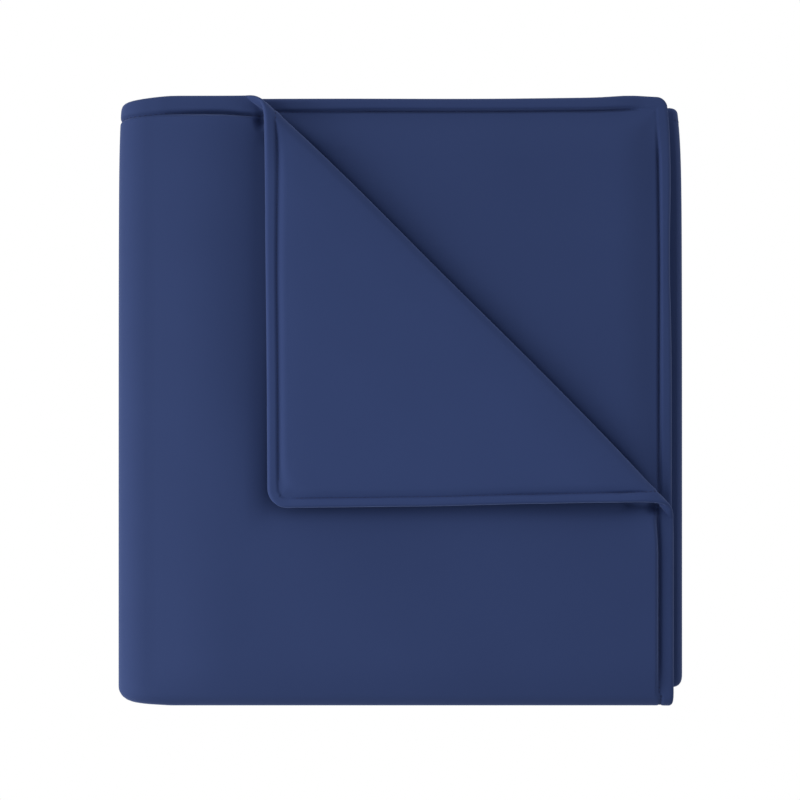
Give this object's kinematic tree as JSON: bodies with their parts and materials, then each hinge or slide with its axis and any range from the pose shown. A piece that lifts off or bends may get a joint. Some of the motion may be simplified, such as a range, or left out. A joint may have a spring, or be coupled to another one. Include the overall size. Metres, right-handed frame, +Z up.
{
  "type": "folded comforter",
  "caption": "Thin plain comforter folded into a flat layered stack, with a stitched hem, a rounded spine fold and the corner of its top layer turned back; bedding for display or storage.",
  "frame": {"origin": "middle of the folded stack's footprint, on the surface that it lies on", "axes": "+X from the spine fold to the open side, +Y from the bottom fold to the open hems, +Z up through the layers"},
  "size_m": [0.5688, 0.5986, 0.131],
  "materials": {
    "navy_cloth": "smooth fine-woven navy cloth with a soft sheen"
  },
  "bodies": {
    "root": {"comforter": "navy_cloth"}
  },
  "joints": []
}
